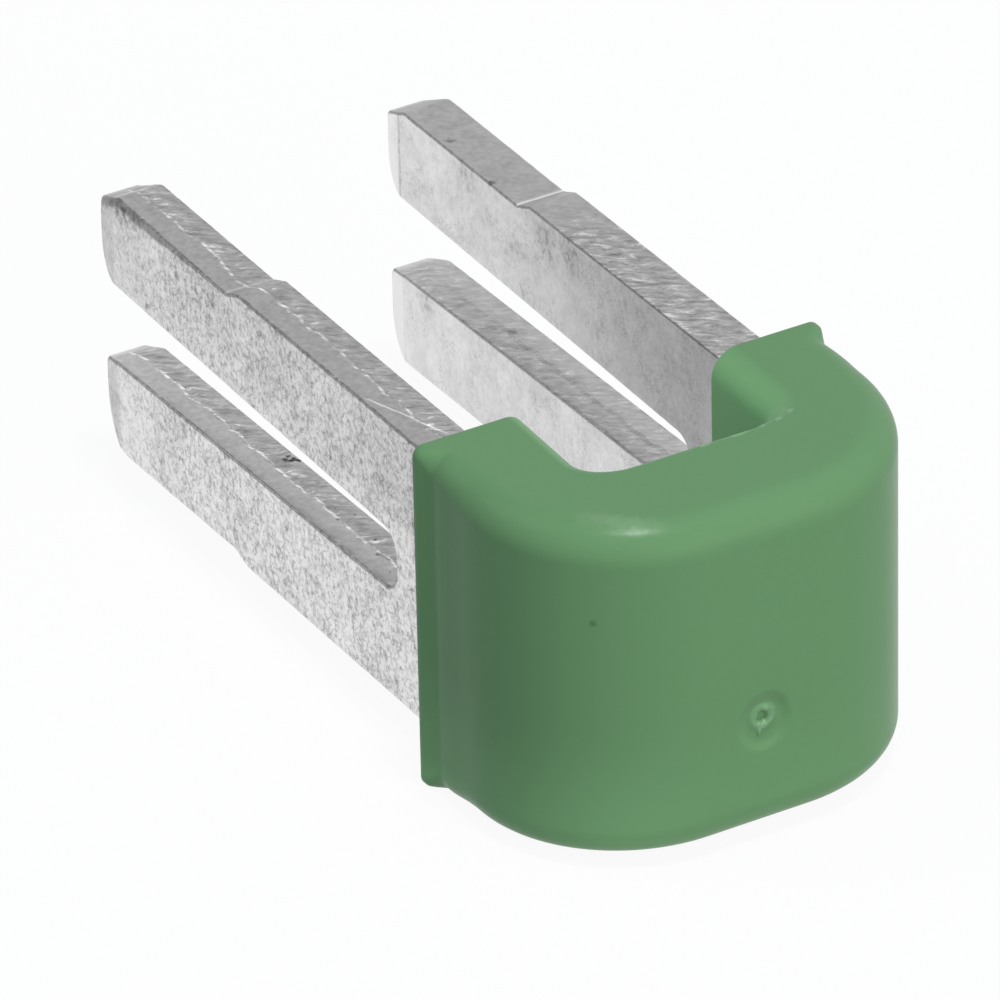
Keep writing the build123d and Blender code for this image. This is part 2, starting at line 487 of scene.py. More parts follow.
def bending_tree():
    tree = bpy.data.node_groups.new("bend_strip", "GeometryNodeTree")
    face = tree.interface
    face.new_socket("Geometry", in_out="INPUT", socket_type="NodeSocketGeometry")
    for name in bend_sizes:
        face.new_socket(name, in_out="INPUT", socket_type="NodeSocketFloat")
    face.new_socket("Finish", in_out="INPUT", socket_type="NodeSocketMaterial")
    face.new_socket("Geometry", in_out="OUTPUT", socket_type="NodeSocketGeometry")
    w = Wiring(tree)
    given = tree.nodes.new("NodeGroupInput")
    names = ("Geometry", *bend_sizes, "Finish")
    blank_in, half, radius, centre, finish = (Socket(tree, given.outputs[name]) for name in names)
    split = tree.nodes.new("ShaderNodeSeparateXYZ")
    plug(tree, split.inputs[0], w.node("GeometryNodeInputPosition"))
    along, across, height = (Socket(tree, split.outputs[i]) for i in range(3))
    distance = along.maths("ABSOLUTE")
    on_web = distance.maths("MINIMUM", half)
    past_web = (distance - half).maths("MAXIMUM", 0.0)
    on_bend = past_web.maths("MINIMUM", radius * (math.pi / 2))
    on_leg = past_web - on_bend
    angle = on_bend / radius
    arm = radius - across
    x = (on_web + arm * angle.maths("SINE")) * along.maths("SIGN")
    y = centre - arm * angle.maths("COSINE") + on_leg
    bent = w.node("ShaderNodeCombineXYZ", {"X": x, "Y": y, "Z": height})
    moved = w.node("GeometryNodeSetPosition", {"Geometry": blank_in, "Position": bent})
    real = w.node("GeometryNodeRealizeInstances", {"Geometry": moved})
    dressed = w.node("GeometryNodeSetMaterial", {"Geometry": real, "Material": finish})
    out = tree.nodes.new("NodeGroupOutput")
    plug(tree, out.inputs["Geometry"], dressed)
    return tree


def socket_id(tree, name):
    """The identifier of an input of the tree, which is what a modifier stores its value under."""
    return next(i.identifier for i in tree.interface.items_tree if i.name == name and i.in_out == "INPUT")


tin = bpy.data.materials.new("tinned_copper_finish")
bending = bending_tree()
bend = blank.modifiers.new("bend", "NODES")
bend.node_group = bending
for name, value in {**bend_sizes, "Finish": tin}.items():
    bend[socket_id(bending, name)] = value
evaluated = blank.evaluated_get(bpy.context.evaluated_depsgraph_get())
bent_mesh = bpy.data.meshes.new_from_object(evaluated)
blank.modifiers.remove(bend)
blank.data = bent_mesh
bent_mesh.name = "contact_strip"
flat_co = np.zeros(len(bent_mesh.vertices) * 3, np.float32)
bent_mesh.vertices.foreach_get("co", flat_co)
bent_mesh.vertices.foreach_set("co", to_frame(flat_co.reshape(-1, 3)).astype(np.float32).ravel())
bent_mesh.shade_smooth()
bent_mesh.set_sharp_from_angle(angle=math.radians(38))
bent_mesh.update()
contact_strip = blank
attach(contact_strip, "root")
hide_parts("contact_bridge")
print("strip after the bend, triangles", sum(len(p.vertices) - 2 for p in bent_mesh.polygons))

# %% [markdown]
# The cap is a sleeve that goes round the bend, so it can be built as a tube: one closed section is
# carried along a U, with its outer and inner walls on two rails in plan. The section's corners are
# quarter rounds whose radius changes along the way: small and crisp at the rear rim, fuller round
# the front. Near its two ends the section swells into the thin rim. The same section, with other
# sizes, is carried along the strip's own path to make the pocket, and the two tubes are joined at
# the rear faces of the legs, so the cap is one closed skin.

# %% The cap's section
half_width, front_radius, front_taper = 4.05, 3.02, 0.175
side_drop = 0.15
rim_half, rim_land, rim_length = 4.1, 0.14, 0.52
recess_half, recess_depth, recess_radius = 1.9, 2.40, 0.7
gate_x, gate_z, gate_reach = 0.01, -0.92, 0.76
soft_depth = cap_depth - 0.005
end_round = 0.035


def roof(y):
    """Half height of the cap at a distance y from its rear face (y is negative)."""
    return cap_half - front_taper * (-y) / cap_depth


def section_levels():
    """The section as a list of (part, share), going up the outer wall and down the inner one."""
    low_wall, gate = [-1.0, -0.985, -0.93, -0.86, -0.79, -0.72], np.linspace(-0.66, -0.10, 58)
    high_wall = [-0.03, 0.06, 0.16, 0.28, 0.4, 0.52, 0.64, 0.76, 0.86, 0.93, 0.985]
    turns = np.linspace(0, 1, 11)
    across = [0.02, 0.08, 0.2, 0.35, 0.5, 0.65, 0.8, 0.92, 0.98]
    down = [0.97, 0.85, 0.6, 0.3, 0.0, -0.3, -0.6, -0.85, -0.97]
    order = [("outer", [*low_wall, *gate, *high_wall]), ("outer_top", turns), ("top", across),
             ("inner_top", turns), ("inner", down), ("inner_low", turns), ("low", across),
             ("outer_low", turns[:-1])]
    return [(part, share) for part, shares in order for share in shares]


levels = section_levels()
Station = namedtuple("Station", "outer outer_normal inner inner_normal outer_round inner_round lowered")


def section(at, height):
    """One closed ring of the tube. Height is a function of Y; the normals point out of the material."""
    walls = {"outer": (at.outer, at.outer_normal, at.outer_round),
             "inner": (at.inner, at.inner_normal, at.inner_round)}
    ring = []
    for part, share in levels:
        sign = -1.0 if part.endswith("low") else 1.0
        wall = part.split("_")[0]
        if part in walls:
            place, _, radius = walls[part]
            z = share * (height(place[1]) - radius)
        elif wall in walls:
            rail, normal, radius = walls[wall]
            rising = (wall == "outer") == (sign > 0)
            turn = (share if rising else 1 - share) * math.pi / 2
            place = rail - normal * radius * (1 - math.cos(turn))
            z = sign * (height(place[1]) - radius * (1 - math.sin(turn)))
        else:
            a, b = (rail - normal * radius for rail, normal, radius in walls.values())
            place = a + (b - a) * (share if sign > 0 else 1 - share)
            z = sign * height(place[1])
        ring.append((place[0], place[1], z))
    return ring


print("points in the section", len(levels))

# %% [markdown]
# The rails run from the rear of one leg, round a large front corner, across the front, and back.
# Stations are close together where something happens: at the rim, and across the front where the
# gate mark will be pressed in. Only the right half is worked out, and the left half mirrors it.

# %% Carry the section along the rails
corner = np.array([half_width - front_radius, -soft_depth + front_radius])
recess_corner = np.array([recess_half - recess_radius, -recess_depth + recess_radius])


def soft_end(y):
    """How far the skin stands back where it rounds into the rear faces of the legs."""
    share = max(0.0, 1 + y / end_round)
    return end_round * (1 - math.sqrt(max(0.0, 1 - share ** 2)))


def side_half(y):
    """Half width of the cap's side at a distance y from its rear face, rim included."""
    body = half_width - side_drop * ((y - corner[1]) / corner[1]) ** 2
    slope = min(1.0, max(0.0, (-y - rim_land) / (rim_length - rim_land)))
    return rim_half + (body - rim_half) * slope - soft_end(y)


def half_stations(leg_round, wall_round):
    """Stations from the rear of the right leg to the middle of the front."""
    stations = []
    out, back, ahead = np.array([1.0, 0.0]), np.array([0.0, 1.0]), np.array([0.0, -1.0])
    leg = [0.0, -0.006, -0.018, -0.035, -0.08, -0.13, -0.15, -0.19, -0.27, -0.36, -0.45, -0.505,
           -0.53, -0.6, -0.75, -0.95, -1.2, -1.45, -1.6]
    for y in leg:
        outer = np.array([side_half(y), y])
        inner = np.array([recess_half + soft_end(y), y / corner[1] * recess_corner[1]])
        outer_round = 0.20 + 0.24 * smooth(rim_land, rim_length, -y) + 0.16 * smooth(rim_length, 1.6, -y)
        stations.append(Station(outer, out, inner, -out, outer_round, leg_round, soft_end(y)))
    for k in range(33):
        turn = math.pi / 2 * k / 32
        way = np.array([math.cos(turn), -math.sin(turn)])
        outer, inner = corner + front_radius * way, recess_corner + recess_radius * way
        outer_round = 0.60 + 0.03 * smooth(0, 1.5, turn)
        inner_round = leg_round + (wall_round - leg_round) * smooth(0.15, 1.35, turn)
        stations.append(Station(outer, way, inner, -way, outer_round, inner_round, 0.0))
    beside_gate, at_gate = np.linspace(corner[0], gate_reach, 4)[1:-1], np.linspace(gate_reach, 0.0, 31)
    for x in [*beside_gate, *at_gate]:
        outer, inner = np.array([x, -soft_depth]), np.array([x / corner[0] * recess_corner[0], -recess_depth])
        stations.append(Station(outer, ahead, inner, back, 0.63, wall_round, 0.0))
    return stations


def mirrored(stations):
    """The same stations on the left, in the order that goes on from the middle."""
    flip = np.array([-1.0, 1.0])
    return [Station(*(part * flip for part in s[:4]), *s[4:]) for s in reversed(stations)]


def drifted(stations, drift):
    """The cap's body sits a little to the right of its rim, as if the mould halves were a hair apart."""
    for s in stations:
        s.outer[0] += drift * smooth(rim_length, 1.3, -s.outer[1])
    return stations


# The recess is rounded off more on its right edge than on its left one.
stations = drifted(half_stations(0.55, 0.15) + mirrored(half_stations(0.32, 0.15)[:-1]), 0.058)
shell = [section(s, lambda y: roof(y) - s.lowered) for s in stations]

clearance, pocket_round = 0.05, 0.05
room = half_thick + clearance
leg_length = -bend_centre
tunnel = []
for run in [0.0, 0.3, 1.0, 1.7] + [leg_length + bend_length * k / 16 for k in range(17)]:
    if run < leg_length:
        middle, way = np.array([outer_face - half_thick, -run]), np.array([1.0, 0.0])
    else:
        turn = min(math.pi / 2, (run - leg_length) / bend_middle)
        way = np.array([math.cos(turn), -math.sin(turn)])
        middle = np.array([half_web, bend_centre]) + bend_middle * way
    outer, inner = middle + way * room, middle - way * room
    tunnel.append(Station(outer, way, inner, -way, pocket_round, pocket_round, 0.0))
tunnel = [section(s, lambda y: root_half + clearance) for s in tunnel + mirrored(tunnel)]
grid_rings = np.array(shell + list(reversed(tunnel)))
print("rings", grid_rings.shape)

# %% [markdown]
# The plastic was injected at one point of the front face. It leaves a shallow dimple with the broken
# stub of the runner standing in it: a small ring with a hole and a tail below. Pressing the grid in
# by a formula of the distance from the gate gives all of it as real relief.

# %% Press in the gate mark
gate_crumbs = [(0.03, -0.10, 0.040), (-0.03, -0.15, 0.035), (0.06, -0.16, 0.035),
               (-0.09, -0.12, 0.035), (0.01, -0.21, 0.03)]


def gate_stub(x, z):
    """How far the stub stands up at a place, how pale it is there, and the distance from its hole."""
    dx, dz = x - gate_x, z - gate_z
    rough = wobble(x * 8.0, z * 8.0, 3.0)
    ring = math.hypot(dx / 1.12, dz / 1.12) + rough * 0.025
    raised = smooth(0.275, 0.18, ring) * smooth(0.06, 0.13, ring)
    width = max(0.012, 0.10 + (dz + 0.17) * 0.45)
    tail = smooth(1.0, 0.3, abs(dx + 0.045 - dz * 0.08) / width)
    tail *= smooth(-0.39, -0.33, dz) * smooth(-0.12, -0.18, dz)
    crumbs = max(smooth(r, r * 0.4, math.hypot(dx - a, dz - b)) for a, b, r in gate_crumbs)
    stands = max(raised * (0.85 + rough * 0.5), 0.9 * tail, 0.7 * crumbs)
    light = max(raised * (0.35 + max(0.0, rough) * 1.3), 0.8 * tail, 1.6 * crumbs)
    return stands, light, ring


def gate_depth(x, z):
    """How far the front face is pressed in at a place: the dimple, less the stub, and the stub's hole."""
    dimple = math.hypot(x - gate_x - 0.02, (z - gate_z + 0.08) / 1.08)
    stands, _, ring = gate_stub(x, z)
    return 0.062 * smooth(0.575, 0.36, dimple) - 0.042 * stands + 0.055 * smooth(0.115, 0.04, ring)


pressed = 0
pale = np.zeros(grid_rings.shape[:2], np.float32)
painted_recess_light = np.zeros(grid_rings.shape[:2], np.float32)
for i in range(len(shell)):
    for k, (part, share) in enumerate(levels):
        x, y, z = grid_rings[i, k]
        if part.startswith("inner"):
            # The recess walls are marked for painted light: the plastic finish paints them lighter.
            painted_recess_light[i, k] = {"inner": 1.0, "inner_top": share, "inner_low": 1.0 - share}[part]
            if part == "inner_top" and y < 0.12 - recess_depth:
                pale[i, k] = 0.9 * smooth(0.0, 0.35, wobble(x * 4.0, share, 1.7)) * smooth(-1.3, 0.6, x)
        near_gate = abs(x - gate_x) < 0.7 and abs(z - gate_z) < 0.75
        if part == "outer" and near_gate and y < -soft_depth + 0.05:
            grid_rings[i, k, 1] += gate_depth(x, z)
            pale[i, k] = gate_stub(x, z)[1]
            pressed += 1
print("points pressed", pressed)

# %% [markdown]
# The grid closes on itself both ways, like the skin of a ring. Its faces are written once, and the
# enclosed volume says whether they look outwards.

# %% Close the cap
def closed_grid_mesh(name, rings):
    a, b = rings.shape[:2]
    index = np.arange(a * b).reshape(a, b)
    right, up = np.roll(index, -1, axis=0), np.roll(index, -1, axis=1)
    both = np.roll(right, -1, axis=1)
    quads = np.stack([index, right, both, up], axis=-1).reshape(-1, 4)
    points = rings.reshape(-1, 3)
    p = points[quads]
    halves = [(np.cross(p[:, 0], p[:, k]) * p[:, k + 1]).sum() for k in (1, 2)]
    volume = float(sum(halves)) / 6
    if volume < 0:
        quads = quads[:, ::-1]
    mesh = bpy.data.meshes.new(name)
    mesh.from_pydata(to_frame(points).tolist(), [], quads.tolist())
    mesh.shade_smooth()
    mesh.set_sharp_from_angle(angle=math.radians(40))
    print(name, "quads", len(quads), "volume mm3", round(abs(volume), 2))
    return mesh


cap_mesh = closed_grid_mesh("green_cap", grid_rings)
green_cap = in_scene("green_cap", cap_mesh)
for name, values in (("painted_recess_light", painted_recess_light), ("pale", pale)):
    cap_mesh.attributes.new(name, "FLOAT", "POINT").data.foreach_set("value", values.ravel())
plastic = bpy.data.materials.new("green_plastic_finish")
cap_mesh.materials.append(plastic)
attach(green_cap, "root")
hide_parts("insulating_cap")

# %% [markdown]
# Tinned copper is a soft, pale metal. Its rolled faces are dull and covered in small dark flecks and
# scribbles, fewer of them on the right fork; the burnished band is an even grey; and the torn half is
# streaked, with broken lips beside it. One material holds all of these and mixes them by the values
# that the skin carries. A short list of marks places the single pits and smudges. Colour, roughness
# and bump vary over the surface. Light and shade are painted into the colour as well: painted
# highlights on the lips, on specks of the torn half and at the foot of the ramp; painted light and
# shade on the coined bevels and their crease; painted shade on the faces near the cap; and painted
# shade along the rolled corner, which makes it a thin ragged dark line.

# %% The tin finish
def surface(owner, output="ShaderNodeOutputMaterial"):
    """An empty node tree for a material or for the world, and its output node."""
    owner.use_nodes = True
    tree = owner.node_tree
    tree.nodes.clear()
    return Wiring(tree), tree.nodes.new(output)


def attribute(w, name):
    return w.node("ShaderNodeAttribute", settings={"attribute_name": name}, out="Fac")


def speckle(w, place, scale, detail=2.0, rough=0.5, out=0):
    """Noise from 0 to 1 at so many grains in a millimetre."""
    inputs = {"Vector": place, "Scale": scale, "Detail": detail, "Roughness": rough}
    return w.node("ShaderNodeTexNoise", inputs, {"noise_dimensions": "3D"}, out)


def ramp(w, value, low, high, start=0.0, end=1.0):
    """Goes softly from start to end as the value goes from low to high."""
    inputs = {"Value": value, "From Min": low, "From Max": high, "To Min": start, "To Max": end}
    return w.node("ShaderNodeMapRange", inputs, {"interpolation_type": "SMOOTHSTEP"})


def near(w, value, target, wide, narrow):
    """1 where a value is within narrow of the target, 0 where it is more than wide away."""
    return ramp(w, (value - target).maths("ABSOLUTE"), wide, narrow)


def grey(w, value, tint):
    """A colour from a value: the tint gives the share of red, green and blue."""
    return w.node("ShaderNodeCombineColor", {i: value * share for i, share in enumerate(tint)})


def vector_maths(w, operation, a, b, out="Vector"):
    other = "Scale" if operation == "SCALE" else 1
    return w.node("ShaderNodeVectorMath", {0: a, other: b}, {"operation": operation}, out)


def stretched(w, place, scale):
    return w.node("ShaderNodeMapping", {"Vector": place, "Scale": scale})


def drawing_place(w):
    """The object's own position in drawing millimetres, as a vector and as its three numbers."""
    at = w.node("ShaderNodeTexCoord", out="Object")
    mm = vector_maths(w, "SCALE", at, 1 / MM)
    place = vector_maths(w, "SUBTRACT", mm, (0.0, rear_y, middle_z))
    axes = w.tree.nodes.new("ShaderNodeSeparateXYZ")
    plug(w.tree, axes.inputs[0], place)
    return place, [Socket(w.tree, axes.outputs[n]) for n in "XYZ"]


def spots(w, place, marks, edge=0.4):
    """The sum of soft, slightly ragged marks, each a row of its middle, its radius and its strength."""
    stir = speckle(w, place, 7.0, out="Color")
    shift = vector_maths(w, "SCALE", vector_maths(w, "SUBTRACT", stir, (0.5, 0.5, 0.5)), 0.22)
    place = vector_maths(w, "ADD", place, shift)
    total = None
    for *middle, radius, strength in marks:
        far = vector_maths(w, "DISTANCE", place, middle, "Value")
        mark = ramp(w, far, radius, radius * edge, 0.0, strength)
        total = mark if total is None else total + mark
    return total


smudges = [
    (-3.5, 11.45, 2.55, 0.55, 0.55), (-3.5, 10.9, 2.62, 0.4, 0.3), (2.5, 6.6, 2.3, 0.6, 0.42),
    (2.5, 5.7, 2.45, 0.55, 0.40), (2.5, 7.6, 1.7, 0.45, 0.22), (2.5, 11.0, -0.95, 0.45, 0.3),
    (2.5, 9.4, 2.4, 0.5, 0.22), (-3.5, 8.2, 2.3, 0.35, 0.25),
]
pit_marks = [
    # The loop-shaped dark mark in the left slot
    (-2.72, 7.03, -0.70, 0.085, 1.0), (-2.63, 7.08, -0.70, 0.08, 1.0), (-2.59, 6.94, -0.70, 0.08, 1.0),
    (-2.58, 6.84, -0.70, 0.08, 1.0), (-2.67, 6.88, -0.70, 0.08, 1.0), (-2.74, 6.93, -0.70, 0.06, 0.7),
    # Dots in that slot and at its root
    (-2.67, 4.58, -0.64, 0.06, 0.5), (-3.06, 4.55, -0.64, 0.06, 0.7), (-2.85, 3.60, -0.62, 0.055, 0.7),
    (-3.06, 3.10, -0.61, 0.065, 0.7), (-3.22, 2.44, -0.60, 0.05, 0.5), (-3.07, 3.76, -0.62, 0.06, 0.4),
    (-2.98, 10.34, -0.78, 0.06, 0.4), (-3.5, 2.04, -0.60, 0.09, 0.4), (-2.87, 6.15, -0.68, 0.06, 0.6),
    # Marks on the right fork, then on the left one's flat face
    (2.69, 10.28, 2.63, 0.13, 0.55), (2.52, 8.56, 2.63, 0.12, 0.55), (3.03, 8.80, -0.75, 0.15, 0.45),
    (-3.5, 10.57, 0.93, 0.12, 0.5), (-3.5, 10.66, 1.69, 0.09, 0.4), (-3.5, 9.38, 2.13, 0.12, 0.5),
    (-3.5, 3.65, -0.62, 0.09, 0.4),
]


def finish_tin(material):
    w, out = surface(material)
    place, (right, ahead, height) = drawing_place(w)
    cut, roll, torn, lip, painted_foot_glint = (attribute(w, n) for n in ("cut", "roll", "torn", "lip", "painted_foot_glint"))
    strand, across = attribute(w, "strand"), attribute(w, "across")
    left = ramp(w, right, 0.5, -0.5)
    on_right = 1.0 - left

    # Noises that several parts share
    upright = stretched(w, place, (1.0, 1.0, 0.86))
    broad = speckle(w, place, 0.55)
    mottle = speckle(w, place, 2.2, 4.0, 0.6)
    grain = speckle(w, upright, 8.0, 2.5, 0.6)
    ragged = speckle(w, place, 8.0, 3.0, 0.65)

    # Flat faces: flecks, scribbled threads and pits, fainter near the tips and on the right fork
    tipward = ramp(w, ahead, reach - 3.2, reach - 0.3)
    worn = (1.0 - tipward * 0.45) * (0.26 + left * 0.74)
    fleck = ramp(w, grain + (mottle - 0.5) * 0.12, 0.55, 0.37)
    thread = None
    for field, scale in ((upright, 4.8), (vector_maths(w, "ADD", upright, (7.3, 2.9, 5.1)), 6.6)):
        line = near(w, speckle(w, field, scale, 1.5, 0.6), 0.5, 0.055, 0.008)
        line *= ramp(w, speckle(w, field, scale * 0.8, 2.0, 0.6), 0.42, 0.56)
        thread = line if thread is None else thread.maths("MAXIMUM", line)
    pits = ramp(w, speckle(w, upright, 6.5, 3.0, 0.6), 0.62, 0.70)
    scribble = near(w, speckle(w, place, 3.6, 4.0, 0.7), 0.5, 0.020, 0.003)
    scribble = scribble * ramp(w, speckle(w, place, 1.3), 0.50, 0.60) * on_right
    bevel = ramp(w, ahead + left * 0.05, reach - 0.70 - left * 0.08, reach - 0.62 + left * 0.08)
    crease = near(w, ahead, reach - 0.66, 0.075, 0.015) * on_right
    face = 0.905 - on_right * 0.055 + (mottle - 0.5) * (0.30 + left * 0.04) + (broad - 0.5) * 0.20
    face -= (fleck * 0.20 + thread * 0.28 + pits * 0.18) * worn * (1.0 - bevel * 0.2)
    # Painted shade on the crease where the coined tip starts on the right fork, stronger upwards; the coined
    # bevel gets painted light on the right fork and painted shade on the left one, more so lower down.
    face = face - scribble * 0.24 - crease * (0.03 + on_right * ramp(w, height, -0.3, 0.6) * 0.15)
    face += bevel * (0.12 - left * (0.28 + ramp(w, height, 0.6, -1.2) * 0.05))
    # Painted shade: the right fork's face is darker towards the cap, the left fork's darker upwards and most
    # of all near the cap.
    painted_shade_right = ramp(w, ahead, 10.5, 1.2) * ramp(w, height, -0.8, 0.6) * on_right
    painted_shade_left = (ramp(w, ahead, 3.2, 0.6) * 0.10 + 0.13) * ramp(w, height, -0.6, 1.8) * left
    face *= 1.0 - painted_shade_right * 0.36 - painted_shade_left
    face *= 1.0 - spots(w, place, smudges, 0.1) * (0.45 + fleck * 0.75)

    # Cut edge: an even band, and a torn half whose streaks follow the strands
    run = w.node("ShaderNodeCombineXYZ", {"X": strand, "Y": across, "Z": 0.0})
    wander = (speckle(w, run, 2.6) - 0.5) * 0.35
    bent_run = vector_maths(w, "ADD", run, w.node("ShaderNodeCombineXYZ", {"X": wander}))
    slanted = stretched(w, bent_run, (1.0, 0.26, 1.0))
    streak = speckle(w, slanted, 9.0, 4.0, 0.65)
    fine = speckle(w, slanted, 27.0)
    patch = speckle(w, run, 3.2, 3.0, 0.6)
    scaly = speckle(w, stretched(w, bent_run, (1.0, 0.42, 1.0)), 7.5, 4.0, 0.7)
    band = 0.465 + (mottle - 0.5) * (0.10 + on_right * 0.14) + (streak - 0.5) * 0.13 - on_right * 0.055
    band += (grain - 0.5) * (0.32 - on_right * 0.12)
    # Painted highlight: bright specks on the torn half, most of all near the line of lips.
    painted_torn_glints = ramp(w, streak + (patch - 0.5) * 0.5, 0.60, 0.68)
    tear = 0.45 + (streak - 0.5) * 0.80 + (fine - 0.5) * 0.36 + (patch - 0.5) * 0.30
    tear += painted_torn_glints * (0.10 + ramp(w, across, -0.34, -0.06) * 0.26)
    scales_right = 0.39 + (scaly - 0.5) * 0.9 + (streak - 0.5) * 0.6 + ramp(w, scaly, 0.57, 0.64) * 0.22
    tear += (scales_right - tear) * on_right
    edge = band + (tear - band) * torn
    # Painted highlight: the line of lips is painted lighter in broken stretches, where the lips catch the
    # light.
    edge += lip * ramp(w, speckle(w, run, 2.3, 4.0, 0.75), 0.46, 0.56) * (0.16 + patch * 1.3)

    # Places along the edge that are lighter or darker: tip, upper edge, foot of the ramp, right slot
    edge += ramp(w, ahead, reach - 0.5, reach - 0.1) * 0.20
    edge *= 1.0 - ramp(w, height, 1.5, 2.2) * (0.12 + left * 0.15)
    # Painted highlight at the foot of the ramp, stronger on the right fork.
    edge += painted_foot_glint * (0.14 + on_right * 0.24)
    edge += (ramp(w, ahead, 6.5, 1.5) * 0.06 + 0.05) * ramp(w, height, 0.3, -0.3) * on_right
    drawn = ramp(w, streak + near(w, ahead, reach - 0.72, 0.09, 0.02) * 0.15, 0.46, 0.70)
    drawn = drawn * ramp(w, ahead, reach - 0.92, reach - 0.80) * ramp(w, height, 1.2, 1.6)
    edge += drawn * left * 0.20
    aslant = (right + 3.38) * 0.946 + (ahead - 2.68) * 0.324 + (mottle - 0.5) * 0.10
    scratch = near(w, aslant, 0.0, 0.030, 0.010) * ramp(w, height, 2.6, 2.7) * left
    scratch = scratch * ramp(w, ahead, 0.9, 1.2) * ramp(w, ahead, 2.9, 2.6)
    edge += scratch * 0.30

    # Pits and the painted shade along the rolled corner lie over both
    marks = spots(w, place, pit_marks, 0.3)
    level = face + (edge * (1.0 - marks) - face) * cut
    level *= 1.0 - marks * (1.0 - cut)
    painted_roll_shade = ramp(w, roll + (ragged - 0.5) * 0.8 + (mottle - 0.5) * 0.9, 0.20, 0.76)
    level *= 1.0 - painted_roll_shade * (0.34 + ragged * 0.42)
    level = level.maths("MAXIMUM", 0.05).maths("MINIMUM", 0.95)
    rough = ramp(w, cut, 0.0, 1.0, 0.44, 0.36) + torn * 0.08 - lip * 0.1
    relief = (grain - 0.5) * 1.2 * worn - (thread + pits) * 0.5 * worn + (mottle - 0.5) * 0.8
    torn_relief = streak * (1.0 + left) + scaly * on_right * 1.4 + fine * 0.6
    relief += (torn_relief - relief) * torn
    relief *= 1.0 - cut * (1.0 - torn) * 0.9
    bump = w.node("ShaderNodeBump", {"Strength": 0.5, "Distance": 0.00003, "Height": relief})
    colour = grey(w, level, (1.0, 0.99, 1.0))
    look = {"Base Color": colour, "Metallic": 1.0, "Roughness": rough, "Normal": bump}
    plug(w.tree, out.inputs["Surface"], w.node("ShaderNodeBsdfPrincipled", look))
    print(material.name, "nodes", len(w.tree.nodes))


finish_tin(tin)

# %% [markdown]
# The cap is plain moulded polyamide: satin, even in colour, with the faintest unevenness in its
# skin and one dark speck of burnt plastic on the left front corner. The walls of the recess are
# painted lighter, which is painted light. The torn ring of the gate and the scuffed front edge of the
# recess are paler in colour. The lower left corner and the rounded bottom edge are painted lighter
# too, as painted light from the white table below. A few pale spots sit on the rounded top edge at
# the front left corner. A thin coat, only where fingers have polished the rounded top edge, makes
# the highlight there wide.

# %% The plastic finish
plastic_colour, pale_extra = (0.130, 0.259, 0.121), (0.075, 0.10, 0.075)
burnt_speck = [(-2.94, -4.01, 1.54, 0.085, 0.34)]
# Pale spots on the rounded top edge at the front left corner.
pale_edge_spots = [
    (-2.14, -4.13, 3.18, 0.10, 0.5), (-1.97, -4.21, 3.17, 0.07, 0.5), (-2.36, -4.02, 3.19, 0.06, 0.3),
]
polished = [
    (-2.71, -3.47, 3.27, 0.30, 0.35), (-2.50, -3.65, 3.27, 0.30, 0.58),
    (-2.30, -3.85, 3.27, 0.30, 0.85), (-2.06, -4.04, 3.27, 0.30, 0.95),
    (-1.79, -4.21, 3.27, 0.28, 0.50),
]


def finish_plastic(material):
    w, out = surface(material)
    place, (right, ahead, height) = drawing_place(w)
    painted_recess_light, pale = attribute(w, "painted_recess_light"), attribute(w, "pale")
    cloud = speckle(w, place, 0.5)
    skin = speckle(w, place, 9.0, 3.0, 0.55)
    # Painted light from the white table: lighter towards the bottom, most of all at the lower left and on the
    # rounded bottom edge.
    painted_floor_light = ramp(w, height, -0.4, -3.0) * (0.06 + ramp(w, right, -0.8, -3.0) * 0.20)
    painted_floor_light += ramp(w, height, -2.60, -3.12) * 0.20
    tone_and_painted_light = 1.0 + (cloud - 0.5) * 0.03 + (skin - 0.5) * 0.05
    # Painted light: the recess walls and the bottom are painted lighter.
    tone_and_painted_light = tone_and_painted_light * (1.0 - spots(w, place, burnt_speck, 0.2)) * (1.0 + painted_recess_light) * (1.0 + painted_floor_light)
    pale += spots(w, place, pale_edge_spots, 0.1)
    mixed = [tone_and_painted_light * base + pale * extra for base, extra in zip(plastic_colour, pale_extra)]
    look = {
        "Base Color": w.node("ShaderNodeCombineColor", dict(enumerate(mixed))),
        "Roughness": 0.26 + (cloud - 0.5) * 0.04,
        "Normal": w.node("ShaderNodeBump", {"Strength": 0.12, "Distance": 0.00001, "Height": skin}),
        "IOR": 1.5,
        "Specular IOR Level": 0.08,
        "Coat Weight": spots(w, place, polished, 0.1).clamped(),
        "Coat Roughness": 0.36,
    }
    plug(w.tree, out.inputs["Surface"], w.node("ShaderNodeBsdfPrincipled", look))
    print(material.name, "nodes", len(w.tree.nodes))


finish_plastic(plastic)

# %% [markdown]
# The stage is a pale floor and soft light, as in a product picture. To the camera and in reflections
# the floor and the surroundings are white, and the floor still takes a faint shadow. What lights the
# object is separate: an even, slightly cool grey sky, a large lamp in front, a small one on top and a
# weak one from behind. The front lamp is left out of glossy reflections, where it would glare.

# %% Floor, surroundings and lamps
def rays(w, *kinds):
    """1 for rays of any of these kinds, 0 for all others."""
    path = w.tree.nodes.new("ShaderNodeLightPath")
    first, *others = (Socket(w.tree, path.outputs[f"Is {kind} Ray"]) for kind in kinds)
    for other in others:
        first = first.maths("MAXIMUM", other)
    return first


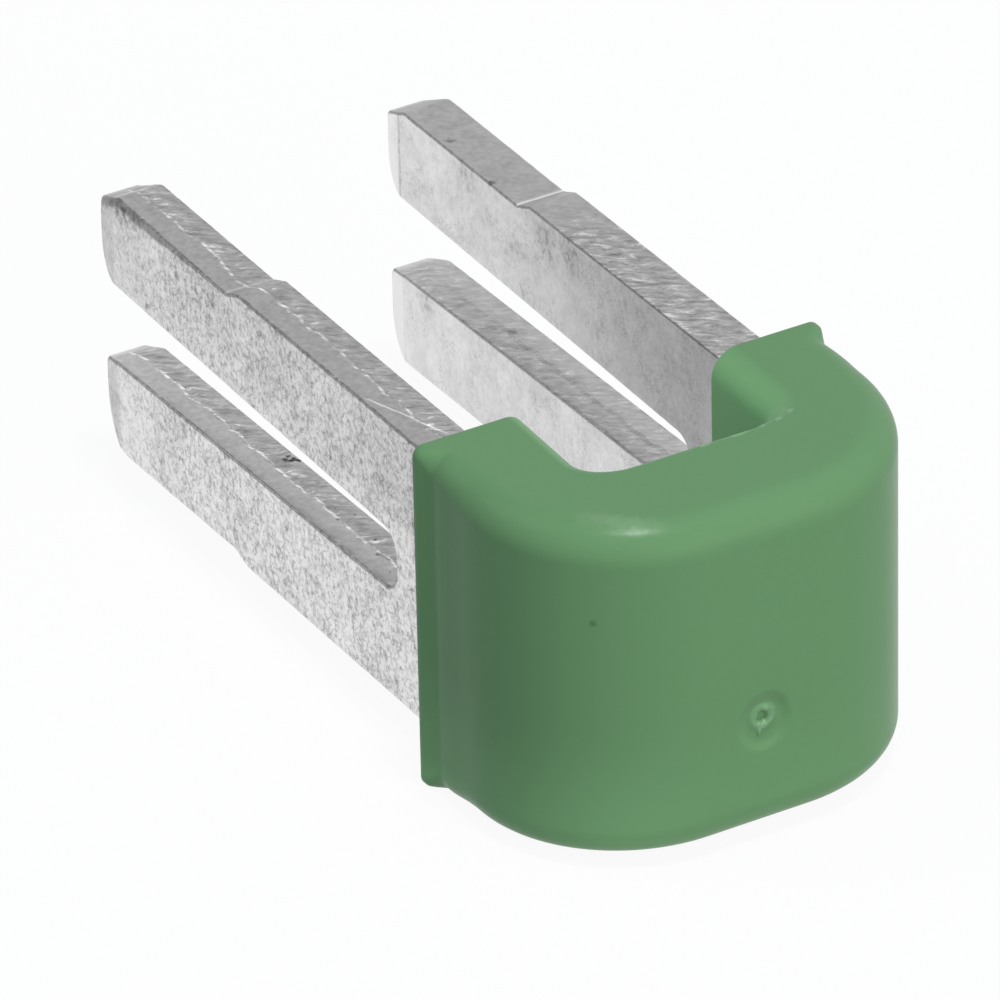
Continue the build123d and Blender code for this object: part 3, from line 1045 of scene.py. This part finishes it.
SEEN = ("Camera", "Glossy", "Transmission")
bpy.ops.mesh.primitive_plane_add(size=3.0, location=(0, 0, 0))
floor = bpy.context.object
floor.name = "floor"
floor_finish = bpy.data.materials.new("floor_finish")
floor.data.materials.append(floor_finish)
w, out = surface(floor_finish)
camera_ray = rays(w, "Camera")
floor_grey = grey(w, 0.36 + camera_ray * 0.44, (1.0, 1.0, 1.0))
floor_mix = w.node("ShaderNodeMixShader", {
    0: rays(w, *SEEN) * 0.75 + camera_ray * 0.18,
    1: w.node("ShaderNodeBsdfDiffuse", {"Color": floor_grey}),
    2: w.node("ShaderNodeEmission", {"Color": (1.0, 1.0, 1.0, 1.0), "Strength": 1.0}),
})
plug(w.tree, out.inputs["Surface"], floor_mix)

world = bpy.data.worlds.new("surroundings")
bpy.context.scene.world = world
w, out = surface(world, "ShaderNodeOutputWorld")
clear = rays(w, *SEEN)
cool = [tint + (1.0 - tint) * clear for tint in (0.78, 1.03, 1.11)]
sky_colour = w.node("ShaderNodeCombineColor", dict(enumerate(cool)))
sky = w.node("ShaderNodeBackground", {"Color": sky_colour, "Strength": 0.345 + 0.655 * clear})
plug(w.tree, out.inputs["Surface"], sky)


def lamp(name, way, distance, size, watts, mirrored_in_gloss=True):
    """A square soft lamp in a direction from the object, turned towards it."""
    data = bpy.data.lights.new(name, "AREA")
    data.size, data.energy = size, watts
    made = in_scene(name, data)
    way = Vector(way).normalized()
    made.location = way * distance
    made.rotation_mode = "QUATERNION"
    made.rotation_quaternion = way.to_track_quat("Z", "Y")
    made.visible_glossy = mirrored_in_gloss
    return made


lamp("top", (0.0, -0.20, 0.97), 0.5, 0.06, 1.12)
lamp("front", (0.15, -0.97, 0.10), 0.5, 0.40, 2.7, mirrored_in_gloss=False)
lamp("rear_left", (-0.55, 0.35, 0.75), 0.5, 0.30, 0.38)
print("lamps", [o.name for o in bpy.data.objects if o.type == "LIGHT"])

# %% [markdown]
# The picture was taken with a long lens, from the left and a little above, so the edges hardly
# converge. The camera's place and turn were worked out from the corners of the two forks.

# %% The camera
camera_data = bpy.data.cameras.new("camera")
camera = in_scene("camera", camera_data)
bpy.context.scene.camera = camera
camera_data.sensor_width = 36.0
camera_data.lens = 379.73
camera_data.shift_x, camera_data.shift_y = -0.00085, -0.00245
camera_data.clip_start, camera_data.clip_end = 0.01, 10.0
pitch = 6.0  # the fit was made in units of the distance between the poles
turn, shift = Vector((2.04, -0.5719, 0.30)), Vector((0.3432, 0.1578, 30.62)) * pitch
seen_from = Matrix.Rotation(turn.length, 3, turn.normalized())
place = -(seen_from.transposed() @ shift)
axes = Matrix((seen_from[0], -seen_from[1], -seen_from[2])).transposed()
spot = to_frame([tuple(place)])[0]
camera.matrix_world = Matrix.Translation(Vector(spot)) @ axes.to_4x4()
bpy.context.scene.view_settings.view_transform = "Standard"
print("camera at mm", [round(float(v) * 1000, 2) for v in spot])
